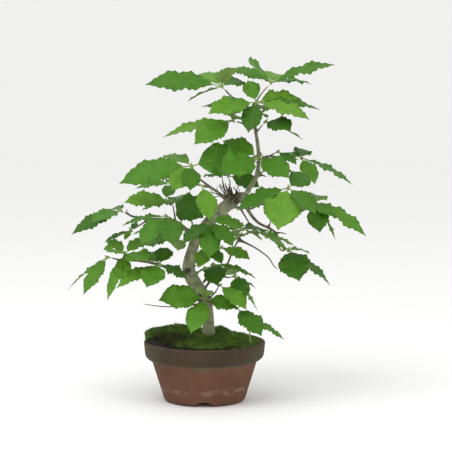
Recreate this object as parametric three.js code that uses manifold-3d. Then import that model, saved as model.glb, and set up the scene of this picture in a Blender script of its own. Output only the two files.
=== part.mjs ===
// A broadleaf bonsai in a round terracotta training pot.
// Units are millimetres, +Z is up, and the pot stands on the plane z = 0 with its front foot notch towards -Y.
//
// The pot is turned: a tapered body, a heavy rim band, a foot ring with drainage notches and one drainage hole
// under a mesh screen. Soil fills it, moss covers the soil, and the tree is rooted in both. The trunk bends left,
// swings back right to an old pruning head and goes on as a thin leader. Branches leave it one by one, and every
// branch carries leafy shoots: a bud with its whorl of leaves. Trunk, branches, shoots, moss, soil, screen and pot
// are separate closed solids that meet with a small gap.

import * as THREE from 'three';
import { LoftGeometry } from 'three/addons/geometries/LoftGeometry.js';
import { mergeVertices } from 'three/addons/utils/BufferGeometryUtils.js';
import Module from 'manifold-3d';

const wasm = await Module();
wasm.setup();

// ---------------------------------------------------------------- driving dimensions

const CLEARANCE = 0.35; // gap between two pieces that touch

const RIM_DIAMETER = 182;
const POT_HEIGHT = 89;
const FOOT_DIAMETER = 120;
const WALL = 7;
const RIM_BAND_HEIGHT = 23; // the upright outer face of the rim band
const RIM_BAND_TAPER = 2.4; // how much smaller in radius the band is at its lower edge
const RIM_OVERHANG = 10; // from the body out to the band's lower edge
const RIM_UNDERCUT = 6; // height of the slope under the band
const RIM_LIP = 8; // width of the rim's top face
const FOOT_RING_WIDTH = 9;
const FOOT_RECESS = 6.8; // height of the floor's underside above the ground
const FLOOR = 7; // thickness of the pot's floor
const EDGE_ROUND = 2.2;

const DRAIN_HOLE_DIAMETER = 20;
const NOTCH_WIDTH = 32;
const NOTCH_HEIGHT = 7.4;
const NOTCH_COUNT = 3;

const SCREEN_DIAMETER = 40;
const SCREEN_THICKNESS = 1.2;
const SCREEN_OPENING = 5;
const SCREEN_BAR = 1.6;

const MOSS_THICKNESS = 7;
const MOSS_MARGIN = 3; // bare ring of soil between the moss and the pot's wall
const MOSS_SPILL = 10; // how far the moss spreads over the rim on the left

const TREE_HEIGHT = 428; // from the rim plane to the highest leaf
const TREE_LEAN = 1.8; // degrees that the whole tree leans back
const TREE_SETTING = 3; // how much higher than its drawing the tree is set in the soil
const DRAWN_HEIGHT = 420; // the height at which the trunk, branches and shoots below are written
const GROWTH = TREE_HEIGHT / DRAWN_HEIGHT;

const LEAF_THICKNESS = 1.1; // at the midrib; the margin is sharp
const LEAF_ARCH = 0.06; // rise of the midrib above the line from bud to tip, per length
const LEAF_TILT = 14; // degrees that every leaf's front margin hangs, on top of its own tilt
const LEAF_FOLD = 0.16; // rise of each margin above the midrib, per half width
const BUD_LENGTH = 8;
const BUD_RADIUS = 1.9;
const TWIG_RADIUS = 1.15; // where a twig meets its bud
const TWIG_SWELL = 1.5; // how much thicker a twig is where it leaves its branch

const POT_SIDES = 32;
const TRUNK_SIDES = 12;
const BRANCH_SIDES = 7;
const TWIG_SIDES = 5;

const COLOURS = {
  pot: { color: 0x6b4a3c, roughness: 0.85 },
  screen: { color: 0x2a2c2a, roughness: 0.6 },
  soil: { color: 0x2e2a22, roughness: 1 },
  moss: { color: 0x40571f, roughness: 1 },
  bark: { color: 0x7c7a5f, roughness: 0.9 },
  twig: { color: 0x4b4234, roughness: 0.85 },
  leaf: { color: 0x4f8a2a, roughness: 0.5 },
};

// ---------------------------------------------------------------- tree drawing
// Points are [right, back, up] from the centre of the rim plane, and stems add a radius as a fourth number.

const TRUNK_LINE = [
  [6, 0, -34, 9],
  [6, 0, -16, 12],
  [6, 0, -2, 11.2],
  [6, 0, 12, 9.2],
  [6, 0, 32, 8],
  [4, -1, 48, 8.6],
  [-1, -2, 60, 10.8],
  [-9, -3, 75, 10.6],
  [-19, -4, 90, 10.2],
  [-24, -5, 104, 10],
  [-21, -6, 119, 9.2],
  [-16, -7, 136, 8.2],
  [-12, -8, 150, 8.2],
  [-2, -9, 162, 8.4],
  [10, -9, 176, 8.8],
  [26, -8, 191, 9.4],
  [40, -7, 202, 10],
  [51, -6, 210, 7],
  [62, -4, 218, 4],
  [71, -2, 229, 3.6],
  [77, 0, 241, 3.3],
  [80, 0, 262, 3],
  [78, 0, 284, 2.8],
  [75, 0, 302, 2.5],
  [72, 0, 321, 2.3],
  [73, -2, 334, 2.1],
];

const ROOTS = [20, 95, 160, 230, 305]; // bearings of the main roots in degrees, anticlockwise from the right
const ROOT_REACH = 46;
const ROOT_DROP = 20;
const ROOT_RADIUS = 5;

// Broken-off stubs round the old pruning head: [from, to].
const STUBS = [
  [[38, -8, 203], [32, -18, 222]],
  [[42, -6, 204], [41, 4, 226]],
  [[36, -8, 202], [22, -22, 211]],
  [[48, -6, 210], [54, -20, 221]],
  [[39, -8, 203], [17, -15, 226]],
  [[41, -7, 204], [29, -1, 233]],
  [[44, -7, 206], [50, 3, 230]],
  [[76, 0, 240], [88, -8, 247]],
  [[77, 0, 242], [92, 4, 238]],
  [[1, -2, 66], [19, -12, 70]],
  [[-22, -5, 104], [-9, -14, 110]],
];

// Each branch: its route from inside the trunk, and its radius at both ends.
const BRANCHES = {
  branch_low_left: { radius: [3.2, 1.5], line: [
    [-21, -4, 93], [-42, -26, 103], [-64, -44, 113], [-86, -44, 118], [-104, -37, 119], [-122, -31, 119],
  ] },
  branch_mid_left: { radius: [4, 1.5], line: [
    [-13, -8, 148], [-29, -13, 164], [-42, -19, 174], [-60, -22, 178], [-82, -24, 177], [-105, -25, 182],
  ] },
  branch_high_left: { radius: [3, 1.5], line: [[36, -8, 200], [24, -16, 213], [8, -28, 225], [-6, -38, 236]] },
  branch_low_right: { radius: [2.6, 1.4], line: [
    [-9, -3, 77], [4, -7, 90], [14, -9, 99], [27, -8, 93], [33, -2, 108], [41, 9, 128], [50, 20, 145],
  ] },
  branch_mid_right: { radius: [3.4, 1.5], line: [
    [48, -6, 208], [61, -10, 194], [68, -12, 183], [79, -13, 171], [92, -14, 165], [104, -15, 157],
    [107, -16, 141],
  ] },
  branch_high_right: { radius: [2.2, 1.4], line: [[80, 0, 264], [94, -1, 268], [110, 4, 266], [126, 10, 261]] },
  branch_crown_left: { radius: [1.9, 1.4], line: [[73, -1, 327], [62, -3, 340], [46, -6, 350], [36, -8, 358]] },
  branch_upper_left: { radius: [1.9, 1.4], line: [[74, 0, 308], [66, -8, 313], [56, -15, 316]] },
  branch_foot_front: { radius: [3, 1.7], line: [[1, -2, 58], [4, -18, 58], [5, -32, 59]] },
  branch_front: { radius: [2.8, 1.5], line: [[-12, -8, 150], [-6, -26, 154], [0, -42, 159], [5, -56, 167]] },
  branch_back_left: { radius: [3.4, 1.5],
    line: [[-17, -7, 134], [-12, 20, 144], [-16, 48, 154], [-38, 78, 160]] },
  branch_back_right: { radius: [3.4, 1.5], line: [[26, -8, 191], [36, 24, 192], [52, 54, 190], [70, 80, 186]] },
  branch_back_low: { radius: [2.8, 1.5], line: [[-4, -3, 68], [6, 24, 80], [20, 50, 90]] },
};

// Bare twigs that carry no leaves now: the stem that they leave and their route.
const BARE_TWIGS = [
  { on: 'branch_low_right', line: [[50, 20, 145], [76, 10, 133], [96, 2, 119], [100, 1, 108], [108, 0, 102]] },
  { on: 'branch_mid_right', line: [[92, -14, 165], [97, -16, 172], [94, -18, 181]] },
  { on: 'branch_mid_right', line: [[104, -15, 157], [112, -22, 158], [120, -26, 156]] },
  { on: 'branch_foot_front', line: [[4, -18, 58], [-22, -20, 50], [-60, -19, 49], [-92, -18, 54]] },
  { on: 'branch_low_left', line: [[-86, -44, 118], [-92, -50, 126], [-88, -54, 133]] },
  { on: 'branch_mid_left', line: [[-105, -25, 182], [-112, -34, 188], [-111, -42, 194]] },
];

// Each shoot: the stem that carries it, the twig's route to it, its bud, and its leaves.
// A leaf is [reach right, reach back, rise, width, tilt]: from bud to tip, its greatest width, and how many
// degrees its front margin is turned down.
const SHOOTS = {
  crown_left: { on: 'branch_crown_left', twig: [[36, -8, 358]], bud: [26, -10, 369], leaves: [
    [-111, -15, 3, 40, 30], [-34, 58, 21, 32, 0], [30, 52, 10, 34, 10], [8, -48, 27, 32, 0],
    [-52, 35, -22, 26, 0],
  ] },
  crown_front: { on: 'trunk', twig: [[73, -2, 334]], bud: [75, -18, 346], leaves: [
    [-69, -45, -16, 38, 20], [-12, -38, -43, 30, 0], [67, 40, 6, 36, 20], [-12, 24, 32, 26, 10],
    [93, 8, -10, 30, 5], [76, -38, -24, 36, 10],
  ] },
  crown_back: { on: 'trunk', twig: [[72, 0, 321]], bud: [64, 16, 334], leaves: [
    [-69, 6, 6, 30, 0], [-20, 58, -6, 30, 0], [40, 50, 4, 30, 0],
  ] },
  apex: { on: 'trunk', twig: [[73, -2, 334], [78, 10, 352]], bud: [97, 5, 375], leaves: [
    [-32, -40, 27, 46, 30], [-58, 30, 21, 30, 10], [93, -10, 26, 32, 15], [62, 45, -1, 30, 0],
    [10, 62, 14, 34, 0],
  ] },
  crown_stub: { on: 'trunk', twig: [[72, -1, 324]],
    bud: [83, -22, 331], leaves: [[12, -16, 9, 12, 0], [8, 18, -7, 12, 0]] },
  leader_right: { on: 'trunk', twig: [[75, 0, 302]], bud: [88, -10, 318], leaves: [
    [36, -45, -11, 34, 15], [57, 32, -27, 24, 0],
  ] },
  upper_left: { on: 'branch_upper_left', twig: [[56, -15, 316]], bud: [42, -20, 320], leaves: [
    [-102, -10, -24, 30, 10], [-56, -45, -34, 38, 25], [12, 58, 4, 30, 0],
  ] },
  leader_front: { on: 'trunk', twig: [[80, 0, 258]], bud: [78, -28, 266], leaves: [
    [-51, -60, -21, 46, 25], [43, -50, -27, 36, 20], [-52, 35, 25, 34, 20], [54, 4, -24, 28, 0],
  ] },
  inner_back: { on: 'trunk', twig: [[40, -7, 204], [38, 14, 226]], bud: [35, 30, 238], leaves: [
    [46, -15, -16, 30, 30], [-35, 50, -2, 34, 0], [18, 65, 9, 34, 0],
  ] },
  left_fan: { on: 'branch_high_left', twig: [[-6, -38, 236]], bud: [-17, -45, 255], leaves: [
    [74, 14, 8, 52, 55], [-104, -15, -25, 44, 35], [-44, 55, 14, 30, 0], [-27, -42, -34, 34, 10],
    [-2, -52, -33, 28, 0],
  ] },
  left_inner: { on: 'branch_high_left', twig: [[8, -28, 225], [-22, -6, 228]], bud: [-48, 22, 226], leaves: [
    [-56, 30, -7, 22, 10], [-8, -30, -18, 20, 0], [7, 55, -6, 30, 0],
  ] },
  front_upper: { on: 'branch_high_left', twig: [[8, -28, 225], [0, -60, 226]], bud: [-2, -85, 229], leaves: [
    [11, -14, -49, 32, 0],
  ] },
  left_tip: { on: 'branch_mid_left', twig: [[-105, -25, 182]], bud: [-120, -25, 190], leaves: [
    [-71, -20, -33, 28, 20], [-40, -50, -14, 30, 0], [-13, -45, -11, 24, 0], [-23, 58, -4, 28, 0],
  ] },
  left_shoulder: { on: 'branch_mid_left', twig: [[-42, -19, 174], [-44, -13, 188]],
    bud: [-47, -10, 202], leaves: [
    [-69, -20, 0, 34, 25], [-46, 45, -16, 30, 0], [46, -38, -21, 44, 40],
  ] },
  left_front: { on: 'branch_mid_left', twig: [[-42, -19, 174], [-48, -38, 180]], bud: [-53, -55, 184], leaves: [
    [-36, -35, -39, 34, 10], [10, -45, -38, 38, 0], [-66, 12, -14, 28, 0],
  ] },
  left_young: { on: 'branch_mid_left', twig: [[-82, -24, 177], [-94, -14, 168]], bud: [-107, -5, 160], leaves: [
    [-39, -10, -17, 14, 0], [-29, 14, -16, 9, 0], [-9, -16, -13, 9, 0], [8, 20, 10, 10, 0],
  ] },
  inner_left: { on: 'branch_mid_left', twig: [[-29, -13, 164], [-38, 6, 156]], bud: [-42, 20, 147], leaves: [
    [-50, 20, -12, 30, 20], [2, 42, -22, 26, 0], [-4, 46, 14, 26, 0],
  ] },
  low_left_tip: { on: 'branch_low_left', twig: [[-122, -31, 119]], bud: [-139, -30, 123], leaves: [
    [-61, 20, -50, 24, 0], [-34, -35, -51, 24, 5],
  ] },
  low_left_outer: { on: 'branch_low_left', twig: [[-104, -37, 119]], bud: [-114, -46, 129], leaves: [
    [-22, -40, 6, 34, 0], [-24, -28, -64, 18, 0], [-3, -22, -38, 28, 0], [34, -45, -6, 40, 0],
    [30, 25, 20, 28, 0], [-26, 20, 20, 24, 0],
  ] },
  low_left_mid: { on: 'branch_low_left', twig: [[-64, -44, 113]], bud: [-63, -60, 115], leaves: [
    [-62, -20, -32, 26, 10], [-17, -45, -28, 36, 0], [39, -12, -20, 32, 0], [10, 32, 22, 26, 0],
    [-26, 45, 14, 26, 0],
  ] },
  front_center: { on: 'branch_front', twig: [[5, -56, 167]], bud: [9, -70, 177], leaves: [
    [-1, -35, -50, 32, 0], [-39, -30, -30, 28, 0], [33, -25, -34, 32, 0], [50, 25, -7, 28, 20],
  ] },
  front_low: { on: 'branch_front', twig: [[0, -42, 159]], bud: [6, -45, 140], leaves: [
    [-14, -25, -29, 24, 0], [20, -20, -24, 22, 0],
  ] },
  right_fan: { on: 'branch_mid_right', twig: [[61, -10, 194], [84, -28, 200], [108, -58, 211]],
    bud: [120, -70, 225], leaves: [
    [-16, -50, -56, 54, 0], [-74, -10, -32, 42, 10], [32, 45, 15, 32, 25], [38, -35, -35, 34, 0],
  ] },
  right_tip: { on: 'branch_mid_right', twig: [[84, -28, 200], [118, -26, 193], [146, -18, 190]],
    bud: [162, -15, 201], leaves: [
    [73, -15, -47, 30, 15], [4, -40, -41, 32, 0], [30, 15, -55, 20, 0], [-22, 40, -19, 24, 0],
    [17, -42, -15, 26, 0],
    [6, 60, 8, 32, 0],
  ] },
  high_right: { on: 'branch_high_right', twig: [[126, 10, 261]], bud: [142, 15, 265], leaves: [
    [76, -10, -39, 26, 0], [19, -35, -37, 26, 0], [5, 42, 12, 28, 0], [-22, 38, 6, 22, 0],
  ] },
  high_right_inner: { on: 'branch_high_right', twig: [[94, -1, 268]],
    bud: [106, -16, 275], leaves: [[27, -25, -18, 20, 0]] },
  low_right_tip: { on: 'branch_mid_right', twig: [[107, -16, 141], [112, -15, 131]],
    bud: [122, -15, 132], leaves: [
    [14, -55, -40, 46, 0], [62, -10, -50, 28, 0], [34, 50, -9, 20, 0], [-30, -44, 22, 36, 30],
  ] },
  inner_right: { on: 'branch_low_right', twig: [[50, 20, 145]], bud: [57, 30, 159], leaves: [
    [37, 55, -7, 32, 5], [29, 30, -19, 20, 0], [-15, 60, -16, 26, 0], [-22, 30, 2, 26, 10],
  ] },
  inner_low: { on: 'branch_low_right', twig: [[41, 9, 128], [31, 11, 132]], bud: [23, 10, 133], leaves: [
    [44, -22, -15, 26, 10], [25, 50, -18, 24, 0],
  ] },
  low_center: { on: 'branch_low_right', twig: [[14, -9, 99]], bud: [11, -18, 111], leaves: [
    [57, 4, -14, 22, 0], [8, -45, -26, 32, 0],
  ] },
  low_right_mid: { on: 'branch_low_right', twig: [[27, -8, 93], [35, -18, 92]], bud: [43, -25, 95], leaves: [
    [32, 20, -20, 20, 0], [16, -35, -31, 28, 0], [35, 5, -52, 20, 0],
  ] },
  low_right_inner: { on: 'branch_foot_front', twig: [[4, -18, 58], [16, -30, 72]], bud: [22, -56, 85], leaves: [
    [39, -28, -32, 32, 0],
  ] },
  low_right_outer: { on: 'branch_foot_front', twig: [[5, -32, 59], [26, -48, 54]], bud: [47, -60, 52], leaves: [
    [35, -40, -35, 36, 0],
  ] },
  foot_whorl: { on: 'branch_foot_front', twig: [[5, -32, 59]], bud: [3, -45, 64], leaves: [
    [-68, -25, 1, 38, 45], [-22, -35, -46, 34, 0], [-4, -48, 20, 26, 0], [45, -20, -12, 32, 20],
  ] },
  back_left_low: { on: 'branch_back_left', twig: [[-38, 78, 160]], bud: [-56, 92, 158], leaves: [
    [-58, 25, -14, 34, 0], [-20, 66, -16, 36, 0], [36, 54, -14, 32, 0],
  ] },
  back_left_high: { on: 'branch_back_left', twig: [[-16, 48, 154], [-22, 66, 178]],
    bud: [-26, 80, 196], leaves: [
    [-62, 20, -8, 34, 0], [-24, 68, 4, 36, 0], [46, 50, -8, 34, 0],
  ] },
  back_right_low: { on: 'branch_back_right', twig: [[52, 54, 190], [66, 74, 166]], bud: [76, 92, 150], leaves: [
    [64, 20, -24, 32, 0], [34, 62, -22, 36, 0], [-32, 60, -18, 34, 0],
  ] },
  back_right_high: { on: 'branch_back_right', twig: [[70, 80, 186]], bud: [88, 94, 196], leaves: [
    [72, 22, -14, 34, 0], [38, 66, -8, 36, 0], [-30, 70, 2, 34, 0],
  ] },
  back_low: { on: 'branch_back_low', twig: [[20, 50, 90]], bud: [30, 70, 98], leaves: [
    [48, 36, -20, 32, 0], [4, 66, -18, 34, 0], [-54, 34, -14, 32, 0],
  ] },
  back_crown: { on: 'trunk', twig: [[80, 0, 256], [77, 24, 258]], bud: [72, 46, 262], leaves: [
    [-58, 36, -8, 34, 0], [-6, 70, -4, 36, 0], [56, 42, -14, 34, 0],
  ] },
};

// A sprout that stands in the moss by itself.
const SPROUT = { line: [[67, -30, -9], [66, -31, 14], [65, -34, 26]],
  bud: [64, -36, 34], leaves: [[52, -6, -30, 20, 0]] };

// ---------------------------------------------------------------- helpers

const UP = new THREE.Vector3(0, 0, 1);
const radians = THREE.MathUtils.degToRad;

// A point of the tree drawing, in the pot's frame.
function treePoint([right, back, up]) {
  return new THREE.Vector3(right * GROWTH, back * GROWTH, POT_HEIGHT + up * GROWTH);
}

// The tree's solids are drawn upright; this leans them back about the middle of the rim.
function leaned(made) {
  return made
    .translate([0, 0, -POT_HEIGHT])
    .rotate([-TREE_LEAN, 0, 0])
    .translate([0, 0, POT_HEIGHT + TREE_SETTING]);
}

// A closed three.js geometry as a solid for booleans, without the triangles that collapse where sections meet.
function solid(geometry) {
  const bare = geometry.index ? geometry.toNonIndexed() : geometry.clone();
  bare.deleteAttribute('normal');
  bare.deleteAttribute('uv');
  const merged = mergeVertices(bare, 1e-4);
  const corners = merged.index.array;
  const kept = [];
  for (let i = 0; i < corners.length; i += 3) {
    const [a, b, c] = corners.slice(i, i + 3);
    if (a !== b && b !== c && c !== a) kept.push(a, b, c);
  }
  return new wasm.Manifold(
    new wasm.Mesh({
      numProp: 3,
      vertProperties: new Float32Array(merged.attributes.position.array),
      triVerts: new Uint32Array(kept),
    }),
  );
}

// A solid back as a geometry.
function geometryOf(made) {
  const mesh = made.getMesh();
  const geometry = new THREE.BufferGeometry();
  geometry.setAttribute('position', new THREE.BufferAttribute(new Float32Array(mesh.vertProperties), 3));
  geometry.setIndex(new THREE.BufferAttribute(new Uint32Array(mesh.triVerts), 1));
  geometry.computeVertexNormals();
  return geometry;
}

function joined(solids) {
  return solids.reduce((all, next) => all.add(next));
}

// A ring of points round a centre, square to a direction.
function ring(centre, direction, radius, sides, start) {
  const across = start.clone().addScaledVector(direction, -start.dot(direction)).normalize();
  const over = new THREE.Vector3().crossVectors(direction, across);
  return Array.from({ length: sides }, (_, i) => {
    const angle = (i / sides) * 2 * Math.PI;
    return centre.clone().addScaledVector(across, radius * Math.cos(angle))
      .addScaledVector(over, radius * Math.sin(angle));
  });
}

// A round stem along a smooth curve through the points, with its radius given at each of them.
function stem(points, radii, sides, stepsPerPoint, grow = 0) {
  const curve = new THREE.CatmullRomCurve3(points, false, 'centripetal');
  const steps = (points.length - 1) * stepsPerPoint;
  const sections = [];
  let across = new THREE.Vector3(1, 0.3, 0.1);
  for (let i = 0; i <= steps; i++) {
    const along = (i / steps) * (points.length - 1);
    const before = Math.min(Math.floor(along), points.length - 2);
    const radius = THREE.MathUtils.lerp(radii[before], radii[before + 1], along - before);
    const direction = curve.getTangent(i / steps);
    across = across.clone().addScaledVector(direction, -across.dot(direction)).normalize();
    sections.push(ring(curve.getPoint(i / steps), direction, radius + grow, sides, across));
  }
  return solid(new LoftGeometry(sections, { capStart: true, capEnd: true }));
}

// Radii that taper evenly from one end of a route to the other.
function taper(count, from, to) {
  return Array.from({ length: count }, (_, i) => THREE.MathUtils.lerp(from, to, i / (count - 1)));
}

// ---------------------------------------------------------------- pot

const RIM_RADIUS = RIM_DIAMETER / 2;
const FOOT_RADIUS = FOOT_DIAMETER / 2;
const BAND_FOOT = RIM_RADIUS - RIM_BAND_TAPER;
const BODY_TOP = BAND_FOOT - RIM_OVERHANG;
const BODY_TOP_Z = POT_HEIGHT - RIM_BAND_HEIGHT - RIM_UNDERCUT;
const FLOOR_Z = FOOT_RECESS + FLOOR;
const INNER_RIM = RIM_RADIUS - RIM_LIP;

// The body's outer radius at a height, between foot and rim band.
function bodyRadius(z) {
  return THREE.MathUtils.mapLinear(z, 0, BODY_TOP_Z, FOOT_RADIUS, BODY_TOP);
}

// The radius of the pot's inside at a height.
function innerRadius(z) {
  return z > BODY_TOP_Z
    ? THREE.MathUtils.mapLinear(z, BODY_TOP_Z, POT_HEIGHT, BODY_TOP - WALL, INNER_RIM)
    : bodyRadius(z) - WALL;
}

// The turned pot. A grown pot, for cutting what must stay clear of it, is larger on every face.
function potBlank(grow = 0) {
  const recessRadius = FOOT_RADIUS - FOOT_RING_WIDTH;
  const profile = [
    [DRAIN_HOLE_DIAMETER / 2 - grow, FOOT_RECESS - grow],
    [recessRadius - grow, FOOT_RECESS - grow],
    [recessRadius + 1 - grow, -grow],
    [FOOT_RADIUS - EDGE_ROUND, -grow],
    [FOOT_RADIUS + grow, EDGE_ROUND],
    [BODY_TOP + grow, BODY_TOP_Z],
    [BAND_FOOT - EDGE_ROUND, BODY_TOP_Z + RIM_UNDERCUT - EDGE_ROUND / 2 - grow],
    [BAND_FOOT + grow, BODY_TOP_Z + RIM_UNDERCUT + EDGE_ROUND / 2],
    [RIM_RADIUS + grow, POT_HEIGHT - EDGE_ROUND],
    [RIM_RADIUS - EDGE_ROUND, POT_HEIGHT + grow],
    [INNER_RIM + EDGE_ROUND / 2, POT_HEIGHT + grow],
    [INNER_RIM - grow, POT_HEIGHT - EDGE_ROUND],
    [innerRadius(BODY_TOP_Z) - grow, BODY_TOP_Z],
    [innerRadius(FLOOR_Z + EDGE_ROUND) - grow, FLOOR_Z + EDGE_ROUND],
    [innerRadius(FLOOR_Z) - EDGE_ROUND - grow, FLOOR_Z + grow],
    [DRAIN_HOLE_DIAMETER / 2 - grow, FLOOR_Z + grow],
  ];
  const outline = [...profile, profile[0]].map(([r, z]) => new THREE.Vector2(r, z));
  return solid(new THREE.LatheGeometry(outline, POT_SIDES).rotateX(Math.PI / 2));
}

// A round-topped notch through the foot ring, as part of a lying cylinder.
function footNotch(index) {
  const radius = ((NOTCH_WIDTH / 2) ** 2 + NOTCH_HEIGHT ** 2) / (2 * NOTCH_HEIGHT);
  const length = FOOT_RING_WIDTH + 8;
  const cutter = new THREE.CylinderGeometry(radius, radius, length, 40);
  cutter.translate(0, -(FOOT_RADIUS - FOOT_RING_WIDTH / 2), 0);
  cutter.translate(0, 0, NOTCH_HEIGHT - radius);
  cutter.rotateZ((index / NOTCH_COUNT) * 2 * Math.PI);
  return solid(cutter);
}

function makePot() {
  const notches = joined(Array.from({ length: NOTCH_COUNT }, (_, i) => footNotch(i)));
  return potBlank().subtract(notches);
}

// ---------------------------------------------------------------- screen, soil and moss

// The mesh screen over the drainage hole: a disc with a grid of square openings.
function makeScreen(grow = 0) {
  const bottom = FLOOR_Z + CLEARANCE - grow;
  const disc = new THREE.CylinderGeometry(
    SCREEN_DIAMETER / 2 + grow, SCREEN_DIAMETER / 2 + grow, SCREEN_THICKNESS + 2 * grow, 24,
  );
  disc.rotateX(Math.PI / 2).translate(0, 0, bottom + SCREEN_THICKNESS / 2 + grow);
  if (grow > 0) return solid(disc);
  const pitch = SCREEN_OPENING + SCREEN_BAR;
  const openings = [];
  for (const column of [-2, -1, 0, 1, 2])
    for (const row of [-2, -1, 0, 1, 2]) {
      if (Math.hypot(column, row) > 2.3) continue;
      const opening = new THREE.BoxGeometry(SCREEN_OPENING, SCREEN_OPENING, SCREEN_THICKNESS * 3);
      openings.push(solid(opening.translate(column * pitch, row * pitch, bottom)));
    }
  return solid(disc).subtract(joined(openings));
}

// Mounds of the moss: where each stands, its rise and its width.
const MOUNDS = [
  { x: 4, y: 10, rise: 14, width: 44 },
  { x: 24, y: 14, rise: 10, width: 15 },
  { x: -72, y: 18, rise: 14, width: 42 },
  { x: -38, y: 40, rise: 9, width: 22 },
  { x: 60, y: -24, rise: 3, width: 26 },
];

// Height of the moss: a bed just below the rim, falling to the front, with its mounds.
function mossTop(x, y) {
  const mounds = MOUNDS.map((mound) =>
    mound.rise * Math.exp(-((x - mound.x) ** 2 + (y - mound.y) ** 2) / mound.width ** 2));
  return POT_HEIGHT - 2 + 0.045 * y + mounds.reduce((sum, rise) => sum + rise);
}

// A body between two surfaces over a round outline.
function bedBetween(lower, upper, outline, rings, sides) {
  const surface = (height, share) =>
    Array.from({ length: sides }, (_, i) => {
      const angle = (i / sides) * 2 * Math.PI;
      const radius = outline(angle) * share;
      const [x, y] = [radius * Math.cos(angle), radius * Math.sin(angle)];
      return new THREE.Vector3(x, y, height(x, y));
    });
  const shares = Array.from({ length: rings }, (_, i) => i / (rings - 1));
  const sections = [
    ...shares.map((share) => surface(lower, share)),
    ...shares.reverse().map((share) => surface(upper, share)),
  ];
  return solid(new LoftGeometry(sections));
}

// Soil up to the underside of the moss, before the pot's wall cuts it.
function soilBed(grow = 0) {
  const top = (x, y) => mossTop(x, y) - MOSS_THICKNESS + grow;
  return bedBetween(() => FLOOR_Z + CLEARANCE, top, () => RIM_RADIUS - 1, 5, 30);
}

// Everything that the filling must stay clear of: the pot and the way down to its drainage hole.
function potAndDrain() {
  const drainRadius = DRAIN_HOLE_DIAMETER / 2 + 1;
  const drain = new THREE.CylinderGeometry(drainRadius, drainRadius, FLOOR_Z, 24);
  return potBlank(CLEARANCE).add(solid(drain.rotateX(Math.PI / 2).translate(0, 0, FLOOR_Z / 2 + CLEARANCE)));
}

function makeSoil() {
  const bed = largest(soilBed().subtract(potAndDrain())).subtract(makeScreen(CLEARANCE));
  return bed.subtract(leaned(makeTrunkWood(CLEARANCE)));
}

function makeMoss() {
  const outline = (angle) => {
    const left = Math.max(0, -Math.cos(angle)) ** 3;
    const ragged = 1.4 * Math.sin(angle * 5 + 1) + 0.9 * Math.sin(angle * 11);
    return innerRadius(POT_HEIGHT) - MOSS_MARGIN + left * MOSS_SPILL + ragged;
  };
  const bed = bedBetween(() => POT_HEIGHT - 2 * MOSS_THICKNESS, mossTop, outline, 6, 40);
  const cleared = bed.subtract(potBlank(CLEARANCE)).subtract(soilBed(CLEARANCE));
  return largest(cleared).subtract(leaned(makeTrunkWood(CLEARANCE).add(sproutStem(CLEARANCE))));
}

// The biggest of the pieces that a cut leaves.
function largest(cut) {
  return cut.decompose().sort((a, b) => b.volume() - a.volume())[0];
}

// ---------------------------------------------------------------- wood

function trunkCore(grow) {
  const points = TRUNK_LINE.map(treePoint);
  return stem(points, TRUNK_LINE.map(([, , , radius]) => radius * GROWTH), TRUNK_SIDES, 1, grow);
}

function root(bearing, grow) {
  const out = new THREE.Vector3(Math.cos(radians(bearing)), Math.sin(radians(bearing)), 0);
  const start = treePoint(TRUNK_LINE[1]);
  const route = [0.1, 0.45, 1].map((share) =>
    start.clone().addScaledVector(out, ROOT_REACH * share).addScaledVector(UP, -ROOT_DROP * share ** 1.5));
  return stem(route, [ROOT_RADIUS, ROOT_RADIUS * 0.75, 1.5], 6, 2, grow);
}

function stub([from, to], grow) {
  return stem([treePoint(from), treePoint(to)], [2, 1], TWIG_SIDES, 1, grow);
}

// The trunk, its roots and its stubs, without the twigs.
function makeTrunkWood(grow = 0) {
  return joined([
    trunkCore(grow),
    ...ROOTS.map((bearing) => root(bearing, grow)),
    ...STUBS.map((ends) => stub(ends, grow)),
  ]);
}

// The twig that carries a shoot stops short of the bud.
function twigTo(shoot, grow) {
  const points = [...shoot.twig, shoot.bud].map(treePoint);
  const end = points.at(-1);
  const direction = end.clone().sub(points.at(-2)).normalize();
  end.addScaledVector(direction, -BUD_LENGTH / 2 - CLEARANCE);
  return stem(points, taper(points.length, TWIG_RADIUS * TWIG_SWELL, TWIG_RADIUS), TWIG_SIDES, 2, grow);
}

function bareTwig({ line }, grow) {
  const points = line.map(treePoint);
  return stem(points, taper(points.length, TWIG_RADIUS * TWIG_SWELL, TWIG_RADIUS * 0.7), TWIG_SIDES, 1, grow);
}

// All the twigs that leave one stem.
function twigsOn(name, grow) {
  return [
    ...Object.values(SHOOTS).filter((shoot) => shoot.on === name).map((shoot) => twigTo(shoot, grow)),
    ...BARE_TWIGS.filter((twig) => twig.on === name).map((twig) => bareTwig(twig, grow)),
  ];
}

function makeTrunk(grow = 0) {
  return joined([makeTrunkWood(grow), ...twigsOn('trunk', grow)]);
}

function makeBranch(name) {
  const { line, radius } = BRANCHES[name];
  const points = line.map(treePoint);
  const main = stem(points, taper(points.length, ...radius), BRANCH_SIDES, 2);
  return joined([main, ...twigsOn(name, 0)]).subtract(makeTrunk(CLEARANCE));
}

// ---------------------------------------------------------------- leaves

// Stations along a leaf from bud to tip, with the half width at each as a share of the greatest one.
const LEAF_STATIONS = [
  [0, 0.05], [0.12, 0.06], [0.28, 0.7], [0.46, 1], [0.65, 0.95], [0.83, 0.52], [1, 0],
];

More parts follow.
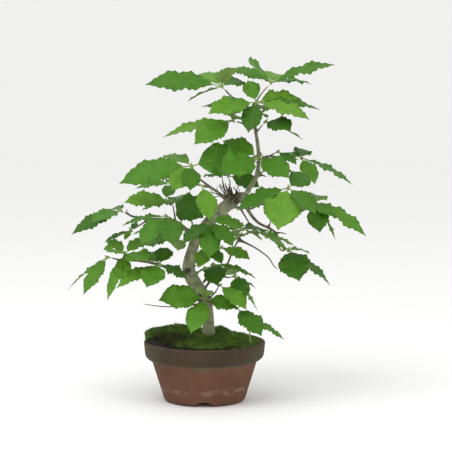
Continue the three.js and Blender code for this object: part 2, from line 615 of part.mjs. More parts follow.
// One leaf with its stalk: four-sided sections along an arched midrib, ending in a sharp tip.
function leaf(bud, [right, back, rise, width, tilt]) {
  const reach = new THREE.Vector3(right, back, rise).multiplyScalar(GROWTH);
  const length = reach.length();
  const crest = bud.clone().addScaledVector(reach, 0.5).addScaledVector(UP, 2 * LEAF_ARCH * length);
  const midrib = new THREE.QuadraticBezierCurve3(bud, crest, bud.clone().add(reach));
  const level = new THREE.Vector3(-reach.y, reach.x, 0).normalize();
  const turn = (level.y > 0 ? 1 : -1) * radians(LEAF_TILT + tilt);
  const sections = LEAF_STATIONS.map(([along, share]) => {
    const centre = midrib.getPoint(along);
    const direction = midrib.getTangent(along);
    const side = level.clone().applyAxisAngle(direction, turn);
    const face = new THREE.Vector3().crossVectors(direction, side);
    const halfWidth = (share * width * GROWTH) / 2;
    const halfDepth = share === 0 ? 0 : LEAF_THICKNESS / 2;
    const edge = (sign) =>
      centre.clone().addScaledVector(side, sign * halfWidth).addScaledVector(face, LEAF_FOLD * halfWidth);
    const middle = (sign) => centre.clone().addScaledVector(face, sign * halfDepth);
    return [edge(1), middle(1), edge(-1), middle(-1)];
  });
  return solid(new LoftGeometry(sections, { capStart: true }));
}

// A bud with its leaves; it sits on the end of the twig that carries it.
function shootSolid(budPoint, from, leaves) {
  const bud = treePoint(budPoint);
  const direction = bud.clone().sub(treePoint(from)).normalize();
  const points = [-0.5, 0, 0.75].map((share) => bud.clone().addScaledVector(direction, share * BUD_LENGTH));
  const body = stem(points, [TWIG_RADIUS, BUD_RADIUS, 0.5], TWIG_SIDES, 1);
  return joined([body, ...leaves.map((drawn) => leaf(bud, drawn))]);
}

// The sprout's stem alone, for cutting the moss round it.
function sproutStem(grow = 0) {
  const points = [...SPROUT.line, SPROUT.bud].map(treePoint);
  return stem(points, taper(points.length, 1.7, TWIG_RADIUS), TWIG_SIDES, 1, grow);
}

function makeSprout() {
  return sproutStem().add(shootSolid(SPROUT.bud, SPROUT.line.at(-1), SPROUT.leaves));
}

// ---------------------------------------------------------------- assembly

const plant = new THREE.Group();

function addPiece(name, made, look) {
  const mesh = new THREE.Mesh(geometryOf(made), new THREE.MeshStandardMaterial(look));
  mesh.name = name;
  plant.add(mesh);
}

addPiece('pot', makePot(), COLOURS.pot);
addPiece('drain_screen', makeScreen(), COLOURS.screen);
addPiece('potting_soil', makeSoil(), COLOURS.soil);
addPiece('moss_carpet', makeMoss(), COLOURS.moss);
addPiece('trunk', leaned(makeTrunk()), COLOURS.bark);
for (const name of Object.keys(BRANCHES)) addPiece(name, leaned(makeBranch(name)), COLOURS.twig);
for (const [name, shoot] of Object.entries(SHOOTS))
  addPiece('shoot_' + name, leaned(shootSolid(shoot.bud, shoot.twig.at(-1), shoot.leaves)), COLOURS.leaf);
addPiece('moss_sprout', leaned(makeSprout()), COLOURS.leaf);

// The origin is under the middle of everything, on the ground.
const extent = new THREE.Box3().setFromObject(plant);
const middle = extent.getCenter(new THREE.Vector3());
plant.position.set(-middle.x, -middle.y, -extent.min.z);

const bonsai = new THREE.Group();
bonsai.add(plant);

export default bonsai;
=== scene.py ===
import math
import random

import bmesh
import bpy
import numpy as np
from mathutils import Matrix, Vector, noise
from mathutils.bvhtree import BVHTree


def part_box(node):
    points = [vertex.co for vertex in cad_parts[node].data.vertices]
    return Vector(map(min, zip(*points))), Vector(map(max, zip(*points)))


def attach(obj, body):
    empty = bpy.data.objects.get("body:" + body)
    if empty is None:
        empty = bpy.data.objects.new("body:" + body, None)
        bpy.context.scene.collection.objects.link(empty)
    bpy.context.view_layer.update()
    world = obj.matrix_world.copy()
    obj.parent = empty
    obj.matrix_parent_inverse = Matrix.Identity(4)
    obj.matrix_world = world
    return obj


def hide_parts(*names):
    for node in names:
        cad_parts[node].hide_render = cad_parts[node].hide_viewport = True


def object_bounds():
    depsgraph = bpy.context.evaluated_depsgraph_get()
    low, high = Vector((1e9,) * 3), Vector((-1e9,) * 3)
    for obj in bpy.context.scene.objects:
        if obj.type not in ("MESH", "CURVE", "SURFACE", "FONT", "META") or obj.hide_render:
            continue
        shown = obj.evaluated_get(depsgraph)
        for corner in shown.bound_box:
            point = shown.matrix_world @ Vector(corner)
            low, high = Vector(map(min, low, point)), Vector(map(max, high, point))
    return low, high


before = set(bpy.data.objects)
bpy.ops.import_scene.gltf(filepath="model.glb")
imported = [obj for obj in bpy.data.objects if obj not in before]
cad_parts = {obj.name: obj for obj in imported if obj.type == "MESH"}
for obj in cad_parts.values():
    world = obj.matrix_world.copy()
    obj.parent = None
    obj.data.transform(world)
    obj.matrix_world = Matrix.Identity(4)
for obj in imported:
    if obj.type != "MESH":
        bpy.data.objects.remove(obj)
CAD_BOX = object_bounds()

bl_info = {
    "name": "Broadleaf Bonsai",
    "version": (1, 0, 0),
    "blender": (4, 5, 0),
    "location": "3D View > Sidebar > Bonsai",
    "description": "Dresses the packed bonsai frame: pot, soil, moss, bark, leaves and the studio",
    "category": "Add Mesh",
}

MM = 0.001
POT_LOW, POT_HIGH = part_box("pot")
AXIS = Vector(((POT_LOW.x + POT_HIGH.x) / 2, (POT_LOW.y + POT_HIGH.y) / 2, 0))
RIM_RADIUS = (POT_HIGH.x - POT_LOW.x) / 2
POT_HEIGHT = POT_HIGH.z
SEEDS = {"moss": 11, "soil": 23, "wood": 23, "sprout": 77, "shoots": 101}
SHOOTS = sorted(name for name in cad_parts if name.startswith("shoot_"))
BRANCHES = sorted(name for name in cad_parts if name.startswith("branch_"))


def linear(hexcode):
    """The linear colour, with alpha, of a web colour."""
    parts = [int(hexcode[i:i + 2], 16) / 255 for i in (1, 3, 5)]
    return tuple(p / 12.92 if p <= 0.04045 else ((p + 0.055) / 1.055) ** 2.4 for p in parts) + (1.0,)


def colour_property(name, description, hexcode):
    return bpy.props.FloatVectorProperty(
        name=name, description=description, subtype="COLOR", size=4, min=0, max=1, default=linear(hexcode))


def length_property(name, description, millimetres):
    return bpy.props.FloatProperty(
        name=name, description=description, default=millimetres * MM, min=0, precision=4, unit="LENGTH")


def count_property(name, description, default, least=1):
    return bpy.props.IntProperty(name=name, description=description, default=default, min=least)


def factor_property(name, description, default):
    return bpy.props.FloatProperty(
        name=name, description=description, default=default, min=0, subtype="FACTOR")


# --- settings


class PotSettings(bpy.types.PropertyGroup):
    clay: colour_property("Clay", "Colour of the fired body", "#6a4938")
    # Also painted as shade low on the foot.
    clay_dark: colour_property("Fire shade", "Darker patches that the kiln left on the body", "#54382b")
    slip: colour_property("Rim slip", "Colour of the brushed rim band", "#443626")
    slip_dark: colour_property("Rim shade", "Darker patches of the rim slip", "#2e271d")
    lime: colour_property("Lime", "Colour of the chalky watermark low on the body", "#a89484")
    # Also painted as sheen towards the rim's left and right sides.
    algae_and_sheen: colour_property("Algae", "Green cast under the rim", "#5b5d42")
    sides: count_property("Sides", "Corners of each turned ring", 112, least=16)
    edge: length_property("Edge bevel", "Softening of the turned edges", 0.9)


class MossSettings(bpy.types.PropertyGroup):
    green: colour_property("Green", "Colour of fresh moss tips", "#b6e05c")
    deep: colour_property("Deep green", "Colour of the moss in shade", "#345a1e")
    dry: colour_property("Dry", "Colour of dried patches", "#54452f")
    earth: colour_property("Earth", "Colour of the potting soil", "#2a231b")
    sprigs: count_property("Sprigs", "How many moss sprigs stand on the bed", 6800)
    grains: count_property("Grains", "How many crumbs lie on the soil", 900)
    height: length_property("Sprig height", "Tallest moss sprig", 5.2)
    relief: length_property("Relief", "Depth of the cushions in the moss", 2.6)


class WoodSettings(bpy.types.PropertyGroup):
    bark: colour_property("Bark", "Colour of the smooth grey bark", "#8e9272")
    bark_dark: colour_property("Bark shade", "Colour of its stains and ring scars", "#5d624a")
    lichen: colour_property("Lichen", "Colour of pale patches on the bark", "#a9ad8e")
    twig: colour_property("Twig", "Colour of thin branches", "#564a3c")
    scar: colour_property("Scar", "Colour of pruning scars and stubs", "#33281f")
    voxel: length_property("Trunk grain", "Size of the trunk's rebuilt mesh", 0.75)
    twig_voxel: length_property("Twig grain", "Size of the branches' rebuilt mesh", 0.5)
    dead_twigs: count_property("Dead twigs", "Thin dead twigs round the pruning head", 16)


class LeafSettings(bpy.types.PropertyGroup):
    upper: colour_property("Upper side", "Colour of a grown leaf from above", "#457a16")
    young: colour_property("Young leaf", "Colour of a young leaf from above", "#669628")
    shade: colour_property("Shade leaf", "Colour of an old leaf from above", "#2c560e")
    under: colour_property("Underside", "Colour of a leaf from below", "#76954c")
    stalk: colour_property("Stalk", "Colour of stalks and midribs", "#7f9c4c")
    teeth: count_property("Teeth", "Teeth along each margin", 9)
    wave: factor_property("Wave", "Rise of the margin's waves, per leaf width", 0.07)
    ruffle: factor_property("Ruffle", "Rise of the blade between side veins, per half width", 0.085)
    thickness: length_property("Thickness", "Thickness of a blade", 0.35)


class StageSettings(bpy.types.PropertyGroup):
    floor: colour_property("Floor", "Colour of the studio floor", "#fafaf9")
    key: bpy.props.FloatProperty(name="Key light", description="Main softbox", default=19.0, unit="POWER")
    fill: bpy.props.FloatProperty(name="Fill light", description="Front softbox", default=8.0, unit="POWER")
    sky: bpy.props.FloatProperty(name="Surround", description="Strength of the white surround", default=0.9)
    lens: bpy.props.FloatProperty(
        name="Lens", description="Focal length in millimetres", default=140.0, unit="CAMERA")


# --- shader maths


class Wire:
    """A node's output, or a plain number, that Python arithmetic turns into Math nodes."""

    def __init__(self, recipe, value):
        self.recipe = recipe
        self.value = value

    def maths(self, operation, *others, clamp=False):
        inputs = dict(enumerate((self, *others)))
        return self.recipe.add("ShaderNodeMath", {"operation": operation, "use_clamp": clamp}, inputs)

    def __add__(self, other):
        return self.maths("ADD", other)

    def __sub__(self, other):
        return self.maths("SUBTRACT", other)

    def __rsub__(self, other):
        return Wire(self.recipe, other).maths("SUBTRACT", self)

    def __mul__(self, other):
        return self.maths("MULTIPLY", other)

    __radd__ = __add__

    def size(self):
        return self.maths("ABSOLUTE")

    def fraction(self):
        return self.maths("FRACT")

    def clamped(self):
        return self.maths("ADD", 0.0, clamp=True)

    def step(self, low, high):
        """Rises smoothly from 0 at low to 1 at high."""
        inputs = {"Value": self, "From Min": low, "From Max": high}
        return self.recipe.add("ShaderNodeMapRange", {"interpolation_type": "SMOOTHSTEP"}, inputs)


class Recipe:
    """A material under construction."""

    def __init__(self, name):
        self.material = bpy.data.materials.new(name)
        self.material.use_nodes = True
        self.tree = self.material.node_tree
        self.tree.nodes.clear()

    def add(self, kind, settings=None, inputs=None, output=0):
        """A node of a type, with its settings made first and then the values or links of its sockets."""
        node = self.tree.nodes.new(kind)
        for name, value in (settings or {}).items():
            setattr(node, name, value)
        for socket, value in (inputs or {}).items():
            value = value.value if isinstance(value, Wire) else value
            if isinstance(value, bpy.types.NodeSocket):
                self.tree.links.new(value, node.inputs[socket])
            else:
                node.inputs[socket].default_value = value
        return Wire(self, node.outputs[output])

    def place(self):
        """Object coordinates."""
        return self.add("ShaderNodeTexCoord", output="Object")

    def stretched(self, scale):
        return self.add("ShaderNodeMapping", inputs={"Vector": self.place(), "Scale": scale})

    def noise(self, scale, detail=3.0, vector=None, distortion=0.0):
        vector = vector or self.place()
        inputs = {"Vector": vector, "Scale": scale, "Detail": detail, "Distortion": distortion}
        return self.add("ShaderNodeTexNoise", inputs=inputs)

    def cells(self, scale):
        return self.add("ShaderNodeTexVoronoi", inputs={"Vector": self.place(), "Scale": scale})

    def axis(self, vector, name):
        return self.add("ShaderNodeSeparateXYZ", inputs={0: vector}, output=name)

    def attribute(self, name):
        return self.add("ShaderNodeAttribute", {"attribute_name": name}, output="Fac")

    def mix(self, factor, first, second):
        """A blend of two colours."""
        return self.add("ShaderNodeMix", {"data_type": "RGBA"}, {0: factor, 6: first, 7: second}, output=2)

    def finish(self, colour, roughness, height=None, depth=MM, **fixed):
        """The surface itself; height is a bump of that depth in metres."""
        inputs = {"Base Color": colour, "Roughness": roughness, **fixed}
        if height is not None:
            inputs["Normal"] = self.add("ShaderNodeBump", inputs={"Height": height, "Distance": depth})
        shader = self.add("ShaderNodeBsdfPrincipled", inputs=inputs)
        self.add_output(shader)
        return self.material

    def add_output(self, shader):
        output = self.tree.nodes.new("ShaderNodeOutputMaterial")
        self.tree.links.new(shader.value, output.inputs["Surface"])


WATERMARK = 21 * MM
RIM_FOOT = 62.5 * MM
RIM_TOP = 89.2 * MM


def clay_material(settings):
    """Fired clay with a chalky watermark low on the body, and dark slip from the foot of the rim band up."""
    make = Recipe("fired_clay")
    height = make.axis(make.place(), "Z")
    cloud = make.noise(26.0, 4.0)
    speckle = make.noise(420.0, 2.0)
    body = make.mix(cloud.step(0.3, 0.75) * 0.6, settings.clay, settings.clay_dark)
    body = make.mix(speckle.step(0.66, 0.78) * 0.1, body, settings.lime)
    tide = make.noise(38.0, 5.0, make.stretched((1, 1, 0.35)))
    band = 1 - ((height - (tide * (12 * MM) + (WATERMARK - 6 * MM))).size() * (1 / (6 * MM))).clamped()
    flakes = make.noise(90.0, 5.0, make.stretched((1, 1, 1.6))).step(0.34, 0.66)
    chalk = band * flakes * make.noise(22.0).step(0.28, 0.55)
    body = make.mix(chalk * 0.34, body, settings.lime)
    under_rim = height.step(RIM_FOOT - 12.5 * MM, RIM_FOOT - 1.5 * MM)
    body = make.mix(under_rim * make.noise(60.0).step(0.3, 0.7) * 0.55, body, settings.algae_and_sheen)
    # Darker towards the foot over the lowest 9 mm: painted shade where the body meets the floor.
    foot = 1 - height.step(0.0, 9 * MM)
    body = make.mix(foot * 0.35, body, settings.clay_dark)
    streak = make.noise(30.0, 4.0, make.stretched((1, 1, 0.3)))
    slip = make.mix(streak.step(0.3, 0.75) * 0.5, settings.slip, settings.slip_dark)
    slip = make.mix(make.noise(240.0, 4.0).step(0.4, 0.7) * 0.4, slip, settings.slip_dark)
    flecks = make.noise(130.0, 5.0, make.stretched((1, 1, 3)))
    slip = make.mix(flecks.step(0.58, 0.8) * 0.12, slip, settings.lime)
    sideways = make.axis(make.place(), "X")
    # Greener and paler towards the left and right sides as seen from the camera: painted sheen where the rim
    # turns away, with real green patches from the noise.
    painted_side_sheen = (sideways - AXIS.x).size().step(45 * MM, 90 * MM)
    green = painted_side_sheen * 0.25 + make.noise(60.0, 4.0).step(0.5, 0.8) * 0.1
    slip = make.mix(green.clamped(), slip, settings.algae_and_sheen)
    below = 1 - height.step(RIM_FOOT - 0.5 * MM, RIM_FOOT + 6.5 * MM)
    slip = make.mix(below * 0.25, slip, settings.algae_and_sheen)
    worn = height.step(RIM_TOP - 3 * MM, RIM_TOP) * make.noise(55.0).step(0.45, 0.6)
    slip = make.mix(worn * 0.4, slip, settings.clay)
    wander = (make.noise(45.0) - 0.5) * (3 * MM)
    on_rim = (height + wander).step(RIM_FOOT - 0.9 * MM, RIM_FOOT + 0.9 * MM)
    colour = make.mix(on_rim, body, slip)
    rings = make.noise(9.0, 3.0, make.stretched((0.6, 0.6, 55.0)))
    height_map = rings * 0.7 + speckle * 0.3 + make.noise(130.0, 4.0) * 0.5
    roughness = 0.86 - on_rim * 0.16 + speckle * 0.08
    return make.finish(colour, roughness, height_map, 0.45 * MM, **{"Specular IOR Level": 0.25})


def screen_material():
    make = Recipe("screen_plastic")
    shade = make.mix(make.noise(300.0), linear("#232523"), linear("#34352f"))
    return make.finish(shade, 0.55, make.noise(900.0), 0.1 * MM)


def earth_material(settings):
    make = Recipe("potting_soil")
    crumbs = make.cells(420.0)
    colour = make.mix(make.noise(140.0).step(0.3, 0.7), settings.earth, linear("#14100c"))
    colour = make.mix(make.noise(600.0).step(0.62, 0.7) * 0.6, colour, linear("#6b5a45"))
    return make.finish(colour, 0.95, crumbs + make.noise(900.0) * 0.5, 1.2 * MM)


def moss_material(settings):
    """Moss, greener towards the tips: the attribute tint runs from 0 at a sprig's root to 1 at its tip, and
    the deep colour where tint is low is painted shade among the sprigs and in the hollows of the bed.
    """
    make = Recipe("moss")
    tint = make.attribute("tint")
    dry = make.attribute("dry")
    patch = make.noise(70.0, 4.0).step(0.35, 0.7)
    fresh = make.mix(patch * 0.5, settings.green, settings.deep)
    colour = make.mix(tint, settings.deep, fresh)
    colour = make.mix(dry * make.noise(160.0).step(0.3, 0.6), colour, settings.dry)
    colour = make.mix(make.attribute("bare"), colour, settings.earth)
    return make.finish(colour, 0.85, make.noise(700.0), 0.6 * MM)


def bark_material(settings):
    """Bark, browner where the attribute thin is high and torn and dark where scar is high."""
    make = Recipe("bark")
    thin = make.attribute("thin")
    scar = make.attribute("scar")
    blotch = make.noise(75.0, 5.0)
    colour = make.mix(blotch.step(0.4, 0.72), settings.bark, settings.bark_dark)
    colour = make.mix(make.noise(120.0, 4.0).step(0.56, 0.68) * 0.8, colour, settings.lichen)
    rings = make.noise(60.0, 4.0, make.stretched((0.5, 0.5, 5.5)), 0.4)
    colour = make.mix(rings.step(0.57, 0.68) * 0.55, colour, settings.bark_dark)
    specks = make.cells(500.0).step(0.05, 0.25)
    colour = make.mix((1 - specks) * 0.35, colour, settings.scar)
    twig = make.mix(make.noise(220.0, 3.0).step(0.4, 0.7) * 0.6, settings.twig, settings.bark)
    colour = make.mix(thin, colour, twig)
    colour = make.mix(scar * make.noise(260.0).step(0.25, 0.55), colour, settings.scar)
    relief = rings * 0.8 + blotch * 0.4 + make.noise(500.0, 3.0) * 0.25
    return make.finish(colour, 0.78 + blotch * 0.1, relief, 0.7 * MM)


VEIN_SLANT = 1.15


def leaf_material(settings):
    """A blade; u runs from stalk to tip, v from margin to margin, with the midrib at one half."""
    make = Recipe("leaf_blade")
    uv = make.add("ShaderNodeUVMap", {"uv_map": "blade"})
    along = make.axis(uv, "X")
    across = (make.axis(uv, "Y") - 0.5).size() * 2
    tint = make.attribute("tint")
    under = make.attribute("under")
    side_vein = ((along * float(settings.teeth) - across * VEIN_SLANT).fraction() - 0.5).size() * 2
    vein = (side_vein.step(0.8, 0.98) * across.step(0.02, 0.2)).clamped()
    midrib = 1 - across.step(0.015, 0.06)
    young = make.mix(tint.step(0.45, 1.0), settings.upper, settings.young)
    upper = make.mix(1 - tint.step(0.0, 0.5), young, settings.shade)
    mottle = make.noise(85.0, 3.0)
    upper = make.mix(mottle.step(0.35, 0.75) * 0.3, upper, settings.shade)
    upper = make.mix((vein * 0.12).maths("MAXIMUM", midrib * 0.18), upper, settings.stalk)
    scorch = across.step(0.8, 1.0) * make.noise(60.0).step(0.66, 0.72)
    upper = make.mix(scorch * 0.5, upper, linear("#8a7a3a"))
    lower = make.mix((vein * 0.5).maths("MAXIMUM", midrib), settings.under, settings.stalk)
    colour = make.mix(under, upper, lower)
    relief = vein * -0.3 + midrib * -0.6 + make.noise(450.0, 3.0) * 0.25
    roughness = 0.46 + under * 0.3 + mottle * 0.1
    return make.finish(colour, roughness, relief, 0.35 * MM, **{"Specular IOR Level": 0.22})


def stalk_material(settings):
    make = Recipe("leaf_stalk")
    colour = make.mix(make.noise(90.0).step(0.45, 0.7) * 0.7, settings.stalk, linear("#6a5a38"))
    return make.finish(colour, 0.6, make.noise(800.0), 0.1 * MM)


# --- modelling helpers


def fresh_selection():
    if bpy.context.object and bpy.context.object.mode != "OBJECT":
        bpy.ops.object.mode_set(mode="OBJECT")
    bpy.ops.object.select_all(action="DESELECT")


def make_active(piece):
    fresh_selection()
    piece.select_set(True)
    bpy.context.view_layer.objects.active = piece


def apply_modifier(piece, kind, **settings):
    make_active(piece)
    modifier = piece.modifiers.new(kind.lower(), kind)
    for name, value in settings.items():
        setattr(modifier, name, value)
    bpy.ops.object.modifier_apply(modifier=modifier.name)


def new_piece(name, vertices, faces):
    mesh = bpy.data.meshes.new(name)
    mesh.from_pydata([tuple(v) for v in vertices], [], [tuple(f) for f in faces])
    piece = bpy.data.objects.new(name, mesh)
    bpy.context.scene.collection.objects.link(piece)
    return piece


def copy_of_node(node, name):
    """The node's solid as a new piece with its triangles joined up."""
    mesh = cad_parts[node].data.copy()
    mesh.materials.clear()
    piece = bpy.data.objects.new(name, mesh)
    bpy.context.scene.collection.objects.link(piece)
    make_active(piece)
    bpy.ops.object.mode_set(mode="EDIT")
    bpy.ops.mesh.select_all(action="SELECT")
    bpy.ops.mesh.remove_doubles(threshold=0.004 * MM)
    bpy.ops.object.mode_set(mode="OBJECT")
    return piece


def settle(piece, node, slot, *materials):
    """Gives the piece its materials, smooth faces and the body that it rides on, and hides the node it
    stands for; the slot is not used.
    """
    for material in materials:
        piece.data.materials.append(material)
    for face in piece.data.polygons:
        face.use_smooth = True
    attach(piece, "root")
    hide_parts(node)


def scalar_attribute(piece, name, values):
    attribute = piece.data.attributes.new(name, "FLOAT", "POINT")
    attribute.data.foreach_set("value", np.asarray(values, np.float32))


def points_of(piece):
    co = np.empty(len(piece.data.vertices) * 3, np.float32)
    piece.data.vertices.foreach_get("co", co)
    return co.reshape(-1, 3)


def move_points(piece, co):
    piece.data.vertices.foreach_set("co", np.asarray(co, np.float32).reshape(-1))
    piece.data.update()


def normals_of(piece):
    normals = np.empty(len(piece.data.vertices) * 3, np.float32)
    piece.data.vertices.foreach_get("normal", normals)
    return normals.reshape(-1, 3)


def share(value, low, high):
    """Rises smoothly from 0 at low to 1 at high."""
    t = np.clip((np.asarray(value, float) - low) / (high - low), 0, 1)
    return t * t * (3 - 2 * t)


def noise_at(points, scale, seed=0.0):
    """Smooth noise between about -1 and 1 at each point; scale is waves per metre."""
    shift = Vector((seed, -seed, seed * 0.5))
    return np.array([noise.noise(Vector(p) * scale + shift) for p in points])


def scattered(piece, count, dice, keep):
    """Places on the piece and normals, evenly by area, on faces whose centre and normal keep accepts."""
    faces = [f for f in piece.data.polygons if keep(f.center, f.normal)]
    picked = dice.choices(faces, weights=[f.area for f in faces], k=count)
    co = points_of(piece)
    places, normals = np.empty((count, 3)), np.empty((count, 3))
    for i, face in enumerate(picked):
        weights = np.array([dice.random() + 0.02 for _ in face.vertices])
        places[i] = (co[list(face.vertices)] * weights[:, None]).sum(0) / weights.sum()
        normals[i] = face.normal
    return places, normals


def add_shape(batch, vertices, faces):
    """Adds a shape to a batch, which is a list of vertices and a list of faces."""
    base = len(batch[0])
    batch[0].extend(vertices)
    batch[1].extend(tuple(k + base for k in face) for face in faces)


def on_tree(place):
    """Where a place is, when given in millimetres from the middle of the rim plane."""
    return np.array(AXIS) + np.array(place) * MM + np.array([0, 0, POT_HEIGHT])


def tube(route, radii, sides):
    """Vertices and faces of a closed round tube along the route."""
    vertices, faces = [], []
    across = Vector((0.31, 0.24, 0.92))
    for i, point in enumerate(route):
        ahead = route[min(i + 1, len(route) - 1)] - route[max(i - 1, 0)]
        direction = ahead.normalized()
        across = (across - direction * across.dot(direction)).normalized()
        over = direction.cross(across)
        for k in range(sides):
            angle = 2 * math.pi * k / sides
            vertices.append(point + (across * math.cos(angle) + over * math.sin(angle)) * radii[i])
    for i in range(len(route) - 1):
        for k in range(sides):
            a, b = i * sides + k, i * sides + (k + 1) % sides
            faces.append((a, b, b + sides, a + sides))
    last = (len(route) - 1) * sides
    faces.append(tuple(range(sides))[::-1])
    faces.append(tuple(range(last, last + sides)))
    return vertices, faces


# --- leaves


class Leaf:
    """The curve, margin direction and width of one leaf, read back from its solid."""

    def __init__(self, curve, side, width):
        self.curve = curve
        self.side = side
        self.width = width

    def at(self, t):
        a, b, c = self.curve
        return a * (1 - t) ** 2 + b * (2 * t * (1 - t)) + c * t * t

    def heading(self, t):
        a, b, c = self.curve
        return ((b - a) * (1 - t) + (c - b) * t).normalized()

    def above(self, t):
        """The direction off the leaf's upper side."""
        up = self.heading(t).cross(self.side).normalized()
        return -up if up.z < 0 else up


RINGS_FROM_TIP = (0.83, 0.65, 0.46, 0.28, 0.12)
RING_SHARES = (0.52, 0.95, 1.0, 0.7, 0.06)
LEAF_DEPTH = (1.0 * MM, 1.2 * MM)
SHORTEST_LEAF = 15 * MM


def rings_behind(tip):
    """The rings of four vertices that follow a leaf's tip, for as long as they stay whole."""
    seen, front, rings = {tip}, [tip], []
    while len(rings) < len(RINGS_FROM_TIP):
        nearby = {edge.other_vert(v) for v in front for edge in v.link_edges} - seen
        if len(nearby) != 4:
            break
        front = sorted(nearby, key=lambda v: v.index)
        rings.append(front)
        seen |= nearby
    return rings


def ring_frame(ring):
    """Centre, the vector from margin to margin, and the depth of a ring; its margins are furthest apart."""
    pairs = [(a, b) for i, a in enumerate(ring) for b in ring[i + 1:]]
    left, right = max(pairs, key=lambda pair: (pair[0].co - pair[1].co).length)
    middle = [v for v in ring if v not in (left, right)]
    depth = (middle[0].co - middle[1].co).length
    return (middle[0].co + middle[1].co) / 2, right.co - left.co, depth


def curve_through(known):
    """The quadratic curve that passes through three known points, each given with its parameter."""
    rows = [[(1 - t) ** 2, 2 * t * (1 - t), t * t] for t, _ in known]
    solved = np.linalg.solve(np.array(rows), np.array([list(point) for _, point in known]))
    return tuple(Vector(row) for row in solved)


def leaves_of(node):
    """Every leaf of a shoot, found from its sharp tips. All the leaves of a shoot start at its bud."""
    piece = copy_of_node(node, "reading")
    mesh = bmesh.new()
    mesh.from_mesh(piece.data)
    found, buried = [], []
    for vertex in mesh.verts:
        frames = [ring_frame(ring) for ring in rings_behind(vertex)] if len(vertex.link_edges) == 4 else []
        if not frames or not LEAF_DEPTH[0] < frames[0][2] < LEAF_DEPTH[1]:
            continue
        tip = vertex.co.copy()
        if len(frames) == 1:
            buried.append((tip, frames[0]))
        elif frames[1][1].length > frames[0][1].length * 1.3:
            last = min(len(frames), 3) - 1
            curve = curve_through([(1, tip), *((RINGS_FROM_TIP[k], frames[k][0]) for k in {0, last})])
            width = frames[last][1].length / RING_SHARES[last]
            found.append(Leaf(curve, frames[last][1].normalized(), width))
    bud = sum((leaf.curve[0] for leaf in found), Vector()) / max(1, len(found))
    for tip, (centre, across, _) in buried:
        curve = curve_through([(0, bud), (RINGS_FROM_TIP[0], centre), (1, tip)])
        crest = bud.lerp(tip, 0.5) + Vector((0, 0, 0.12 * (tip - bud).length))
        if (tip - bud).length > SHORTEST_LEAF and (curve[1] - crest).length < 4 * MM:
            found.append(Leaf(curve, across.normalized(), across.length / RING_SHARES[0]))
    mesh.free()
    bpy.data.objects.remove(piece)
    return found


OUTLINE_AT = (0, 0.03, 0.1, 0.2, 0.32, 0.46, 0.6, 0.72, 0.82, 0.89, 0.94, 0.97, 1)
OUTLINE = (0.03, 0.14, 0.42, 0.72, 0.93, 1.02, 0.97, 0.8, 0.53, 0.27, 0.12, 0.06, 0)
BLADE_START = 0.12
ALONG, ACROSS = 56, 12
TOOTH_DEPTH = 0.085
STALK_STEPS, STALK_SHARE = 17, 1 / 18
# The bud from below its whorl to its point: height and radius, in millimetres.
BUD = ((-3.4, 0.9), (-2, 1.5), (0, 1.9), (1.5, 1.7), (3.5, 1.25), (5.6, 0.55), (6.6, 0.15))


def blade(leaf, settings, dice):
    """Vertices, faces and uvs of one blade as a single sheet."""
    teeth = max(4, round(settings.teeth * min(1.0, 0.55 + leaf.width / (60 * MM))))
    phase = dice.uniform(0, 1)
    lift = dice.uniform(0.7, 1.3)
    waves = dice.uniform(2.2, 3.4)
    twist = dice.uniform(-0.16, 0.16)
    curl = dice.uniform(-0.05, 0.12)
    length = (leaf.curve[2] - leaf.curve[0]).length
    vertices, uvs, faces = [], [], []
    for i in range(ALONG + 1):
        s = i / ALONG
        t = BLADE_START + (1 - BLADE_START) * s
        centre, heading = leaf.at(t), leaf.heading(t)
        side = (leaf.side - heading * leaf.side.dot(heading)).normalized()
        side = Matrix.Rotation(twist * (s - 0.4), 3, heading) @ side
        up = heading.cross(side)
        up = -up if up.z < 0 else up
        half = leaf.width / 2 * float(np.interp(s, OUTLINE_AT, OUTLINE))
        for j in range(ACROSS + 1):
            v = 2 * j / ACROSS - 1
            edge = abs(v)
            tooth = (s * teeth - edge * 0.5 + phase) % 1.0
            lobe = math.sin(math.pi * tooth) ** 0.5
            bite = 1 - TOOTH_DEPTH * (1 - lobe) * edge ** 6 * min(1, 8 * s)
            groove = math.cos(2 * math.pi * (s * teeth - edge * VEIN_SLANT - 0.5 + phase))
            rise = 0.15 * half * edge ** 1.2 - 0.1 * half * edge ** 3
            rise += settings.ruffle * half * groove * edge ** 3
            ripple = math.sin(2 * math.pi * (waves * s + phase + (0.35 if v > 0 else 0)))
            swing = ripple * edge ** 2 * math.sin(math.pi * min(1, s * 1.1))
            rise += settings.wave * lift * leaf.width * swing
            rise -= curl * length * max(0, s - 0.6) ** 2
            sweep = heading * (0.06 * half * edge ** 2)
            vertices.append(centre + side * (v * half * bite) + up * rise + sweep)
            uvs.append((s, j / ACROSS))
    for i in range(ALONG):
        for j in range(ACROSS):
            a = i * (ACROSS + 1) + j
            faces.append((a, a + 1, a + ACROSS + 2, a + ACROSS + 1))
    return vertices, faces, uvs


def upward(vertices, faces):
    """The faces turned so that their normals point up."""
    a, b, c = (vertices[k] for k in faces[len(faces) // 2 + ACROSS // 2][:3])
    normal = (b - a).cross(c - a)
    return faces if normal.z > 0 else [face[::-1] for face in faces]


def stalk(leaf, thickness):
    """The stalk and midrib of a leaf, which sink under the blade where it begins."""
    steps = [k * STALK_SHARE for k in range(STALK_STEPS)]
    radii = [MM * (0.95 - 0.75 * t) * (1.25 if t < 0.03 else 1) for t in steps]
    sunk = [(radius + thickness * 0.6) * float(share(t, 0.08, 0.2)) for t, radius in zip(steps, radii)]
    route = [leaf.at(t) - leaf.above(t) * depth for t, depth in zip(steps, sunk)]
    return tube(route, radii, 6)


def bud(leaves):
    """The bud in the middle of the whorl, pointing between its leaves and up."""
    start = sum((leaf.curve[0] for leaf in leaves), Vector()) / len(leaves)
    reach = sum((leaf.heading(0) for leaf in leaves), Vector())
    direction = (reach / len(leaves) + Vector((0, 0, 0.8))).normalized()
    route = [start + direction * (height * MM) for height, _ in BUD]
    return tube(route, [MM * radius for _, radius in BUD], 8)


